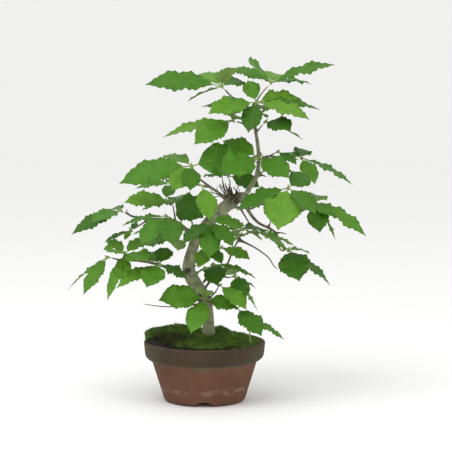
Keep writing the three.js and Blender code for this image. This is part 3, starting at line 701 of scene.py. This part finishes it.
def blades_piece(name, blades, uvs, tints, thickness):
    """All the blades as one piece, with their uvs, their tints and a mark on the under side."""
    piece = new_piece(name, *blades)
    layer = piece.data.uv_layers.new(name="blade")
    loops = np.empty(len(piece.data.loops), np.int32)
    piece.data.loops.foreach_get("vertex_index", loops)
    layer.data.foreach_set("uv", np.asarray(uvs, np.float32)[loops].reshape(-1))
    scalar_attribute(piece, "tint", tints)
    scalar_attribute(piece, "under", [0.0] * len(tints))
    apply_modifier(piece, "SOLIDIFY", thickness=thickness, offset=-1)
    flags = np.zeros(len(piece.data.vertices), np.float32)
    flags[len(tints):] = 1
    piece.data.attributes["under"].data.foreach_set("value", flags)
    return piece


def make_shoot(node, settings, materials, dice, stem=None):
    """One shoot: its blades with their thickness, and the stalks and the bud under them."""
    leaves = leaves_of(node)
    blades, stalks, uvs, tints = ([], []), ([], []), [], []
    for leaf in leaves:
        vertices, faces, blade_uvs = blade(leaf, settings, dice)
        add_shape(blades, vertices, upward(vertices, faces))
        uvs += blade_uvs
        tints += [dice.uniform(0.15, 0.85)] * len(vertices)
        add_shape(stalks, *stalk(leaf, settings.thickness))
    add_shape(stalks, *bud(leaves))
    piece = blades_piece(node + "_leaves", blades, uvs, tints, settings.thickness)
    parts = [new_piece("stalks", *stalks)]
    if stem:
        parts.append(stem)
    for part in (piece, *parts):
        for material in materials:
            part.data.materials.append(material)
    fresh_selection()
    for part in parts:
        part.select_set(True)
        for face in part.data.polygons:
            face.material_index = 1
    piece.select_set(True)
    bpy.context.view_layer.objects.active = piece
    bpy.ops.object.join()
    settle(piece, node, "leaf")


class BONSAI_OT_leaves(bpy.types.Operator):
    """Grows toothed, wavy leaves with stalks on every shoot"""

    bl_idname = "bonsai.leaves"
    bl_label = "Leaves"

    def execute(self, context):
        settings = context.scene.bonsai_leaf
        materials = [leaf_material(settings), stalk_material(settings)]
        for number, node in enumerate(SHOOTS):
            make_shoot(node, settings, materials, random.Random(SEEDS["shoots"] + number))
        return {"FINISHED"}


# --- pot


# The turned section, once round: radius, height and how much its corner is rounded, in millimetres.
POT_SECTION = (
    (10, 6.8, 0.6), (51, 6.8, 1.6), (52, 0, 0.9), (60, 0, 5.5), (78.6, 60, 1.4), (88.6, 66, 5.4),
    (91, 89, 2.4), (83, 89, 2.6), (71.6, 60, 5), (57.3, 13.8, 5), (10, 13.8, 0.6),
)
DRAWN_RIM = 91 * MM
NOTCHES = 3
NOTCH_WIDTH = 32 * MM
NOTCH_HEIGHT = 7.4 * MM
NOTCH_DEPTH = 17 * MM
FOOT_RADIUS = 55.5 * MM
BEVEL_FROM = math.radians(42)
SMOOTH_UNDER = math.radians(40)


def rounded_section(corners, steps=5):
    """The closed section with an arc in place of each corner."""
    scale = MM * RIM_RADIUS / DRAWN_RIM
    points = [Vector((r, z)) * scale for r, z, _ in corners]
    section = []
    for i, point in enumerate(points):
        before = (points[i - 1] - point).normalized() * corners[i][2] * scale
        after = (points[(i + 1) % len(points)] - point).normalized() * corners[i][2] * scale
        for k in range(steps + 1):
            t = k / steps
            section.append(point + before * (1 - t) ** 2 + after * t * t)
    return section


class BONSAI_OT_pot(bpy.types.Operator):
    """Turns the pot with its rim band, foot ring and drainage notches"""

    bl_idname = "bonsai.pot"
    bl_label = "Pot"

    def execute(self, context):
        settings = context.scene.bonsai_pot
        piece = self.turned(settings.sides)
        for index in range(NOTCHES):
            self.cut_notch(piece, index * 2 * math.pi / NOTCHES)
        bevel = {"segments": 3, "limit_method": "ANGLE", "angle_limit": BEVEL_FROM}
        apply_modifier(piece, "BEVEL", width=settings.edge, **bevel)
        piece.data.transform(Matrix.Translation(AXIS))
        settle(piece, "pot", "pot", clay_material(settings))
        make_active(piece)
        bpy.ops.object.shade_smooth_by_angle(angle=SMOOTH_UNDER)
        return {"FINISHED"}

    def turned(self, sides):
        section = rounded_section(POT_SECTION)
        fresh_selection()
        bpy.ops.mesh.primitive_circle_add(vertices=sides, radius=section[0].x, location=(0, 0, 0))
        piece = bpy.context.object
        piece.name = "turned_pot"
        bpy.ops.object.mode_set(mode="EDIT")
        bpy.ops.mesh.select_all(action="SELECT")
        bpy.ops.transform.translate(value=(0, 0, section[0].y))
        for here, there in zip(section, section[1:] + section[:1]):
            bpy.ops.mesh.extrude_edges_move(TRANSFORM_OT_translate={"value": (0, 0, there.y - here.y)})
            grown = there.x / here.x
            bpy.ops.transform.resize(value=(grown, grown, 1), center_override=(0, 0, there.y))
        bpy.ops.mesh.select_all(action="SELECT")
        bpy.ops.mesh.remove_doubles(threshold=0.01 * MM)
        bpy.ops.mesh.normals_make_consistent(inside=False)
        bpy.ops.object.mode_set(mode="OBJECT")
        return piece

    def cut_notch(self, piece, angle):
        radius = ((NOTCH_WIDTH / 2) ** 2 + NOTCH_HEIGHT ** 2) / (2 * NOTCH_HEIGHT)
        out = Vector((math.sin(angle), -math.cos(angle), 0)) * FOOT_RADIUS
        fresh_selection()
        bpy.ops.mesh.primitive_cylinder_add(
            vertices=72, radius=radius, depth=NOTCH_DEPTH, rotation=(math.pi / 2, 0, angle),
            location=out + Vector((0, 0, NOTCH_HEIGHT - radius)))
        cutter = bpy.context.object
        apply_modifier(piece, "BOOLEAN", operation="DIFFERENCE", solver="EXACT", object=cutter)
        bpy.data.objects.remove(cutter)


# --- soil and moss


# The middle of the dried patch, from the pot's axis, and how far it reaches, in millimetres.
DRY_PATCH = (-50, -28, 34)


def dryness(places):
    """Where the moss has dried out: patches, mostly at the front left of the trunk."""
    offset = places[:, :2] - np.array([AXIS.x + DRY_PATCH[0] * MM, AXIS.y + DRY_PATCH[1] * MM])
    near = np.exp(-(offset ** 2).sum(1) / (DRY_PATCH[2] * MM) ** 2)
    return share(noise_at(places, 60.0, 7.0) * 0.7 + near * 0.9, 0.25, 0.75)


SPRIG_BLADES = 7
SPRIG_VERTICES = 4 * SPRIG_BLADES
MOSS_GRAIN = 1.4 * MM
SOIL_GRAIN = 1.5 * MM
CRUMBS_FROM = 70 * MM


def sprigs(places, normals, tallest, dice):
    """Little tufts of pointed, three-sided blades that stand on the places."""
    count, blades = len(places), SPRIG_BLADES
    random_rows = np.array([[dice.random() for _ in range(4)] for _ in range(count * blades)])
    origin = np.repeat(places, blades, axis=0)
    normal = np.repeat(normals, blades, axis=0)
    upright = normal * 0.55 + np.array([0, 0, 0.75])
    upright /= np.linalg.norm(upright, axis=1)[:, None]
    across = np.cross(upright, np.array([0.93, 0.21, 0.3]))
    across /= np.linalg.norm(across, axis=1)[:, None]
    over = np.cross(upright, across)
    turn = (np.tile(np.arange(blades), count) / blades + random_rows[:, 0] * 0.12) * 2 * np.pi
    out = across * np.cos(turn)[:, None] + over * np.sin(turn)[:, None]
    lean = 0.45 + 0.95 * random_rows[:, 1]
    height = tallest * (0.45 + 0.55 * random_rows[:, 2]) * np.where(random_rows[:, 0] > 0.996, 1.8, 1.0)
    root = origin + upright * (height * 0.3 * random_rows[:, 3] - 0.4 * MM)[:, None]
    tip = root + upright * (height * np.cos(lean))[:, None] + out * (height * np.sin(lean))[:, None]
    aside = np.cross(out, upright)
    width = 0.4 * MM + np.minimum(height, tallest)[:, None] * 0.06
    corners = [root + aside * width, root - aside * width, root + out * width * 0.9 + upright * width, tip]
    vertices = np.stack(corners, axis=1).reshape(-1, 3)
    pattern = np.array([(0, 1, 3), (1, 2, 3), (2, 0, 3), (0, 2, 1)])
    faces = (pattern[None] + 4 * np.arange(count * blades)[:, None, None]).reshape(-1, 3)
    shade = np.repeat([dice.uniform(0.25, 1.2) for _ in range(count)], SPRIG_VERTICES)
    # Each blade is dark at the root and light at the tip, scaled by the sprig's random tone: the dark roots
    # are painted shade down in the tuft.
    tint = np.clip(np.tile([0.3, 0.3, 0.4, 1.1], count * blades) * shade, 0, 1)
    return vertices, faces, tint


class BONSAI_OT_moss(bpy.types.Operator):
    """Lays the moss: soft cushions with thousands of sprigs on them"""

    bl_idname = "bonsai.moss"
    bl_label = "Moss"

    def execute(self, context):
        settings = context.scene.bonsai_moss
        material = moss_material(settings)
        dice = random.Random(SEEDS["moss"])
        bed = copy_of_node("moss_carpet", "moss_cushions")
        apply_modifier(bed, "REMESH", mode="VOXEL", voxel_size=MOSS_GRAIN)
        co, normals = points_of(bed), normals_of(bed)
        swell = noise_at(co, 95.0, 3.0) * 0.55 + noise_at(co, 210.0, 5.0) * 0.45
        lift = (swell * settings.relief - 0.6 * MM - self.gap(co)) * share(normals[:, 2], 0.0, 0.5)
        move_points(bed, co + normals * lift[:, None])
        # The bed takes mostly the deep colour, a little greener on the raised cushions: painted shade in the
        # hollows and under the sprigs.
        scalar_attribute(bed, "tint", np.clip(0.1 + swell * 0.2, 0, 1))
        scalar_attribute(bed, "dry", dryness(co))
        scalar_attribute(bed, "bare", self.bareness(co))
        places, directions = scattered(bed, settings.sprigs, dice, lambda c, n: n.z > 0.15)
        growing = self.gap(places) < 1.2 * MM
        places, directions = places[growing], directions[growing]
        vertices, faces, tint = sprigs(places, directions, settings.height, dice)
        tufts = new_piece("moss_sprigs", vertices, faces)
        dry = np.repeat(dryness(places), SPRIG_VERTICES)
        scalar_attribute(tufts, "tint", tint * (1 - 0.45 * dry))
        scalar_attribute(tufts, "dry", dry)
        scalar_attribute(tufts, "bare", np.repeat(self.bareness(places) * 0.85, SPRIG_VERTICES))
        settle(bed, "moss_carpet", "moss", material)
        settle(tufts, "moss_carpet", "moss", material)
        return {"FINISHED"}

    def gap(self, places):
        """How far the moss falls away to bare soil near the wall, at the front and the front left."""
        offset = places[:, :2] - np.array(AXIS)[:2]
        ragged = noise_at(places, 70.0, 13.0) * 4 * MM
        edge = share(np.linalg.norm(offset, axis=1) + ragged, 62 * MM, 74 * MM)
        return edge * self.frontness(offset) * 6 * MM

    def frontness(self, offset):
        """1 at the front and the front left of the pot's axis, 0 elsewhere."""
        return share(-offset[:, 1], 5 * MM, 40 * MM) * (1 - share(offset[:, 0], 30 * MM, 62 * MM))

    def bareness(self, places):
        """Where the moss thins out and the dark soil shows, a little further in than the gap."""
        offset = places[:, :2] - np.array(AXIS)[:2]
        ragged = noise_at(places, 90.0, 17.0) * 5 * MM
        inward = share(np.linalg.norm(offset, axis=1) + ragged, 53 * MM, 63 * MM)
        return np.maximum(inward * self.frontness(offset), share(self.gap(places), 0.4 * MM, 1.1 * MM))


class BONSAI_OT_soil(bpy.types.Operator):
    """Crumbles the soil under the moss and gives the drain screen its plastic"""

    bl_idname = "bonsai.soil"
    bl_label = "Soil and drain screen"

    def execute(self, context):
        settings = context.scene.bonsai_moss
        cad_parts["drain_screen"].material_slots[0].material = screen_material()
        dice = random.Random(SEEDS["soil"])
        bed = copy_of_node("potting_soil", "soil_bed")
        apply_modifier(bed, "REMESH", mode="VOXEL", voxel_size=SOIL_GRAIN)
        co, normals = points_of(bed), normals_of(bed)
        lift = noise_at(co, 320.0, 2.0) * 0.9 * MM * share(normals[:, 2], 0.2, 0.7)
        move_points(bed, co + normals * lift[:, None])
        grains = self.crumbs(bed, settings.grains, dice)
        material = earth_material(settings)
        settle(bed, "potting_soil", "soil", material)
        settle(grains, "potting_soil", "soil", material)
        return {"FINISHED"}

    def crumbs(self, bed, count, dice):
        """Small squashed lumps of soil near the wall, where the moss leaves it bare."""
        places, _ = scattered(
            bed, count, dice, lambda c, n: n.z > 0.4 and (c - AXIS).xy.length > CRUMBS_FROM)
        fresh_selection()
        bpy.ops.mesh.primitive_ico_sphere_add(subdivisions=1, radius=1.0)
        grain = bpy.context.object
        shape = points_of(grain)
        pattern = np.array([tuple(f.vertices) for f in grain.data.polygons])
        bpy.data.objects.remove(grain)
        vertices, faces = [], []
        for i, place in enumerate(places):
            sizes = np.array([dice.uniform(0.6, 1.7) for _ in range(3)]) * MM
            angle = dice.uniform(0, 6.3)
            turn = np.array(Matrix.Rotation(angle, 3, Vector((dice.random(), dice.random(), 1))))
            vertices.append(shape * sizes @ turn + place)
            faces.append(pattern + i * len(shape))
        return new_piece("soil_crumbs", np.concatenate(vertices), np.concatenate(faces))


# --- wood

# Old wounds on the trunk: where, from the middle of the rim plane, and how far they reach, in millimetres.
SCARS = ((43, -2, 214, 15), (12, -8, 72, 12), (-8, -10, 66, 7), (-24, -9, 107, 6), (3, 2, 58, 6))
PRUNING_HEAD = SCARS[0][:3]
THICKEST = 40 * MM
DEAD_TWIG_RADII = [radius * MM for radius in (1.2, 0.95, 0.8, 0.7, 0.55, 0.4)]


def thickness_at(piece):
    """How thick the wood is under each vertex."""
    tree = BVHTree.FromPolygons(
        [v.co for v in piece.data.vertices], [tuple(f.vertices) for f in piece.data.polygons])
    found = []
    for vertex in piece.data.vertices:
        inward = -vertex.normal
        hit = tree.ray_cast(vertex.co + inward * 0.05 * MM, inward, THICKEST)
        found.append(hit[3] if hit[0] is not None else THICKEST)
    return np.array(found)


def scarring(places):
    """1 where the trunk is scarred, 0 elsewhere."""
    total = np.zeros(len(places))
    for *middle, reach in SCARS:
        gap = np.linalg.norm(places - on_tree(middle), axis=1) / (reach * MM)
        total = np.maximum(total, 1 - share(gap, 0.5, 1.15))
    return total


def any_vector(dice, *ranges):
    return Vector([dice.uniform(low, high) for low, high in ranges])


class BONSAI_OT_wood(bpy.types.Operator):
    """Gives the trunk and the branches their smooth, ringed bark"""

    bl_idname = "bonsai.wood"
    bl_label = "Trunk and branches"

    def execute(self, context):
        settings = context.scene.bonsai_wood
        material = bark_material(settings)
        self.bark("trunk", "bark", settings.voxel, 1.0, material)
        for node in BRANCHES:
            self.bark(node, "twig", settings.twig_voxel, 0.6, material)
        self.dead_twigs(settings.dead_twigs, random.Random(SEEDS["wood"]), material)
        return {"FINISHED"}

    def bark(self, node, slot, voxel, relief, material):
        piece = copy_of_node(node, node + "_wood")
        apply_modifier(piece, "SUBSURF", levels=2, render_levels=2)
        apply_modifier(piece, "REMESH", mode="VOXEL", voxel_size=voxel)
        apply_modifier(piece, "SMOOTH", factor=0.5, iterations=4)
        co, normals = points_of(piece), normals_of(piece)
        thick = thickness_at(piece)
        scars = scarring(co)
        if node == "trunk":
            self.blunt_head(co)
            self.flare(co)
        rings = noise_at(co * np.array([0.3, 0.3, 1.0]), 330.0, 1.0)
        lumps = noise_at(co, 120.0, 4.0)
        rough = noise_at(co, 420.0, 9.0)
        amount = np.clip(thick / (14 * MM), 0.12, 1.0) * relief
        lift = (rings * 0.28 + lumps * 0.55 + rough * (0.1 + 1.1 * scars)) * amount * MM
        move_points(piece, co + normals * lift[:, None])
        scalar_attribute(piece, "thin", 1 - share(thick, 3.0 * MM, 7.5 * MM))
        scalar_attribute(piece, "scar", scars)
        settle(piece, node, slot, material)

    def dead_twigs(self, count, dice, material):
        """Lets thin dead twigs bristle from the old pruning head, most of them up and to the left."""
        head = Vector(on_tree(PRUNING_HEAD))
        twigs = [], []
        for _ in range(count):
            out = any_vector(dice, (-1.7, 0.5), (-0.6, 0.3), (0.2, 1.0)).normalized()
            stride = dice.uniform(16, 38) * MM / (len(DEAD_TWIG_RADII) - 1)
            route = [head + any_vector(dice, (-11, 4), (-3, 5), (-3, 3)) * MM]
            for _ in DEAD_TWIG_RADII[1:]:
                out = (out + any_vector(dice, *[(-0.35, 0.35)] * 3)).normalized()
                route.append(route[-1] + out * stride)
            add_shape(twigs, *tube(route, DEAD_TWIG_RADII, 6))
        piece = new_piece("trunk_dead_twigs", *twigs)
        scalar_attribute(piece, "thin", np.ones(len(twigs[0])))
        scalar_attribute(piece, "scar", np.full(len(twigs[0]), 0.6))
        settle(piece, "trunk", "twig", material)

    def flare(self, co):
        """Widens the trunk's foot where it meets the moss."""
        height = co[:, 2] - POT_HEIGHT
        foot = co[(height > 0) & (height < 12 * MM), :2].mean(axis=0)
        offset = co[:, :2] - foot
        close = 1 - share(np.linalg.norm(offset, axis=1), 14 * MM, 22 * MM)
        grown = 0.2 * (1 - share(height, 2 * MM, 30 * MM)) * close
        co[:, :2] += offset * grown[:, None]

    def blunt_head(self, co):
        """Crooks and shortens the dead stubs on the old pruning head."""
        middle = on_tree(PRUNING_HEAD)
        rise = np.clip(co[:, 2] - middle[2] - 4 * MM, 0, None)
        near = 1 - share(np.linalg.norm(co - middle, axis=1), 20 * MM, 34 * MM)
        bend = np.stack([noise_at(co, 90.0, seed) for seed in (21.0, 25.0)], axis=1)
        co[:, :2] += bend * (rise * near * 0.8)[:, None]
        co[:, 2] -= rise * near * 0.35


# --- sprout

# The seedling's stem as (x, y, z, radius), from the middle of the rim plane, in millimetres.
SPROUT_STEM = (
    (68.3, -30.9, -5, 1.5), (67.8, -31, 6, 1.3), (67.3, -31.1, 18, 1.1), (66.2, -33.8, 30.6, 1),
    (65.2, -35.6, 38.8, 0.9),
)


class BONSAI_OT_sprout(bpy.types.Operator):
    """Stands the seedling in the moss"""

    bl_idname = "bonsai.sprout"
    bl_label = "Sprout"

    def execute(self, context):
        settings = context.scene.bonsai_leaf
        route = [Vector(on_tree(point)) for *point, _ in SPROUT_STEM]
        stem = new_piece("sprout_stem", *tube(route, [point[3] * MM for point in SPROUT_STEM], 8))
        materials = [leaf_material(settings), stalk_material(settings)]
        make_shoot("moss_sprout", settings, materials, random.Random(SEEDS["sprout"]), stem)
        return {"FINISHED"}


# --- stage


# The camera and the point it looks at, from the pot's axis on the ground.
CAMERA_PLACE = Vector((0.0321, -2.6, 0.526))
CAMERA_AIM = Vector((0.0321, 0, 0.2617))
# Each softbox from the middle of the object, and its size.
KEY_PLACE, KEY_SIZE = Vector((-0.7, -1.0, 1.8)), 1.5
FILL_PLACE, FILL_SIZE = Vector((1.2, -1.9, 0.4)), 1.6
FLOOR_RADIUS, FLOOR_BEND, BEND_STEPS = 5.0, 2.2, 14


class BONSAI_OT_stage(bpy.types.Operator):
    """Sets up the pale floor, soft lights and camera"""

    bl_idname = "bonsai.stage"
    bl_label = "Studio"

    def execute(self, context):
        settings = context.scene.bonsai_stage
        context.scene.view_settings.view_transform = "Standard"
        self.sweep(settings)
        world = bpy.data.worlds.new("studio_surround")
        context.scene.world = world
        world.use_nodes = True
        background = world.node_tree.nodes["Background"]
        background.inputs["Color"].default_value = (1, 1, 1, 1)
        background.inputs["Strength"].default_value = settings.sky
        centre = (CAD_BOX[0] + CAD_BOX[1]) / 2
        self.softbox("key_light", centre + KEY_PLACE, centre, KEY_SIZE, settings.key)
        self.softbox("fill_light", centre + FILL_PLACE, centre, FILL_SIZE, settings.fill)
        self.camera(context, settings.lens)
        return {"FINISHED"}

    def camera(self, context, lens):
        data = bpy.data.cameras.new("camera")
        data.lens = lens
        data.sensor_width = 36.0
        context.scene.camera = self.aimed(data, AXIS + CAMERA_PLACE, AXIS + CAMERA_AIM)

    def softbox(self, name, place, target, size, power):
        data = bpy.data.lights.new(name, "AREA")
        data.energy = power
        data.size = size
        self.aimed(data, place, target)

    def aimed(self, data, place, target):
        """A camera or a light at its place, turned to face the target."""
        piece = bpy.data.objects.new(data.name, data)
        piece.location = place
        piece.rotation_euler = (target - place).to_track_quat("-Z", "Y").to_euler()
        bpy.context.scene.collection.objects.link(piece)
        return piece

    def sweep(self, settings):
        """A pale round floor whose edge curves up into a low wall, so that no horizon shows."""
        fresh_selection()
        bpy.ops.mesh.primitive_circle_add(
            vertices=96, radius=FLOOR_RADIUS, fill_type="NGON", location=(0, 0, 0))
        floor = bpy.context.object
        floor.name = "studio_floor"
        bpy.ops.object.mode_set(mode="EDIT")
        bpy.ops.mesh.select_mode(type="EDGE")
        bpy.ops.mesh.select_all(action="SELECT")
        reach = FLOOR_RADIUS
        for k in range(BEND_STEPS):
            a, b = k * math.pi / 2 / BEND_STEPS, (k + 1) * math.pi / 2 / BEND_STEPS
            out = FLOOR_BEND * (math.sin(b) - math.sin(a))
            up = FLOOR_BEND * (math.cos(a) - math.cos(b))
            bpy.ops.mesh.extrude_edges_move(TRANSFORM_OT_translate={"value": (0, 0, up)})
            grown = (reach + out) / reach
            bpy.ops.transform.resize(value=(grown, grown, 1), center_override=(0, 0, 0))
            reach += out
        bpy.ops.object.mode_set(mode="OBJECT")
        bpy.ops.object.shade_smooth()
        make = Recipe("studio_floor")
        floor.data.materials.append(make.finish(settings.floor, 0.95))


SETTINGS = {
    "bonsai_pot": PotSettings,
    "bonsai_moss": MossSettings,
    "bonsai_wood": WoodSettings,
    "bonsai_leaf": LeafSettings,
    "bonsai_stage": StageSettings,
}
OPERATORS = (
    BONSAI_OT_stage, BONSAI_OT_pot, BONSAI_OT_soil, BONSAI_OT_moss, BONSAI_OT_wood, BONSAI_OT_leaves,
    BONSAI_OT_sprout,
)


class BONSAI_PT_panel(bpy.types.Panel):
    """Lists the bonsai's settings and the steps that make it"""

    bl_idname = "BONSAI_PT_panel"
    bl_label = "Broadleaf Bonsai"
    bl_space_type = "VIEW_3D"
    bl_region_type = "UI"
    bl_category = "Bonsai"

    def draw(self, context):
        for operator in OPERATORS:
            self.layout.operator(operator.bl_idname)
        for name, group in SETTINGS.items():
            box = self.layout.box()
            for setting in group.__annotations__:
                box.prop(getattr(context.scene, name), setting)


def register():
    for kind in (*SETTINGS.values(), *OPERATORS, BONSAI_PT_panel):
        bpy.utils.register_class(kind)
    for name, group in SETTINGS.items():
        setattr(bpy.types.Scene, name, bpy.props.PointerProperty(type=group))


def unregister():
    for name in SETTINGS:
        delattr(bpy.types.Scene, name)
    for kind in reversed((*SETTINGS.values(), *OPERATORS, BONSAI_PT_panel)):
        bpy.utils.unregister_class(kind)


def main():
    register()
    for operator in OPERATORS:
        getattr(bpy.ops.bonsai, operator.bl_idname.split(".")[1])()


if __name__ == "__main__":
    main()
